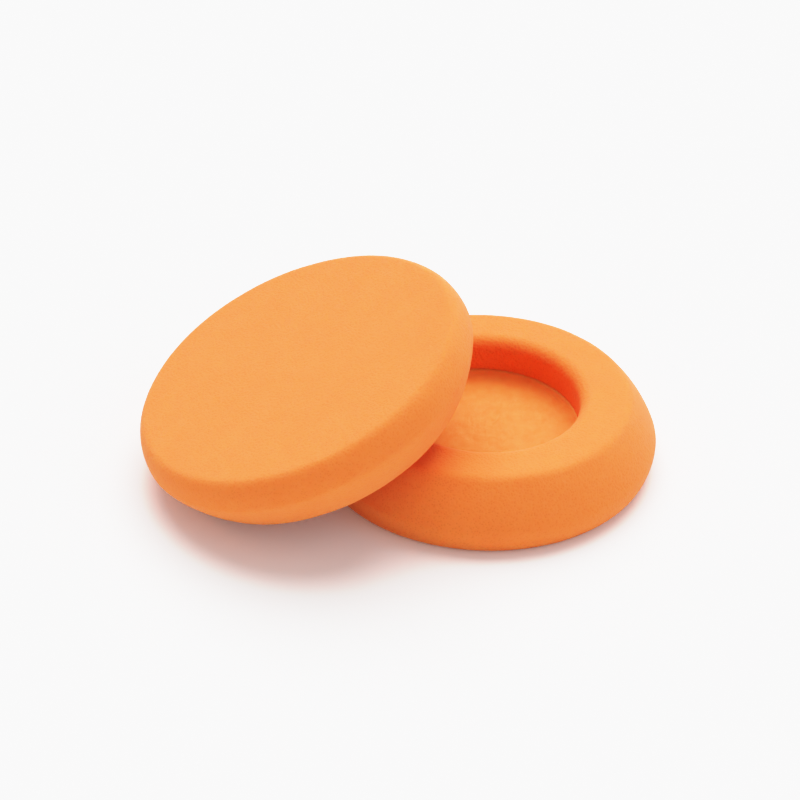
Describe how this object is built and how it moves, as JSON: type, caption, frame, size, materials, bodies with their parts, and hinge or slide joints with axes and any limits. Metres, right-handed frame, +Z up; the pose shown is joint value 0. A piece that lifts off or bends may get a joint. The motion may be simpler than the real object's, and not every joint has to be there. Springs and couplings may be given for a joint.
{
  "type": "polishing pad",
  "caption": "Stack of round foam polishing pads with tapered sides and a recessed loop-faced back, one lying back up and its mate leaning on the rim with its working face up.",
  "frame": {"origin": "centre of the lying pad's working face, on the surface that the pads rest on", "axes": "+Z up, out of the lying pad's recess along its axis; the mate leans on its -X side"},
  "size_m": [0.1508, 0.1108, 0.0548],
  "materials": {
    "foam": "matte",
    "loop_fabric": "matte",
    "adhesive": "satin"
  },
  "bodies": {
    "lying_pad": {"lying_pad_foam": "foam", "lying_pad_adhesive_film": "adhesive", "lying_pad_loop_disc": "loop_fabric"},
    "leaning_pad": {"leaning_pad_foam": "foam", "leaning_pad_adhesive_film": "adhesive", "leaning_pad_loop_disc": "loop_fabric"}
  },
  "joints": [
    {"name": "leaning_pad_lift", "type": "slide", "parent": "lying_pad", "child": "leaning_pad", "axis": [0, 0, 1], "range_m": [0, 0.06]}
  ]
}
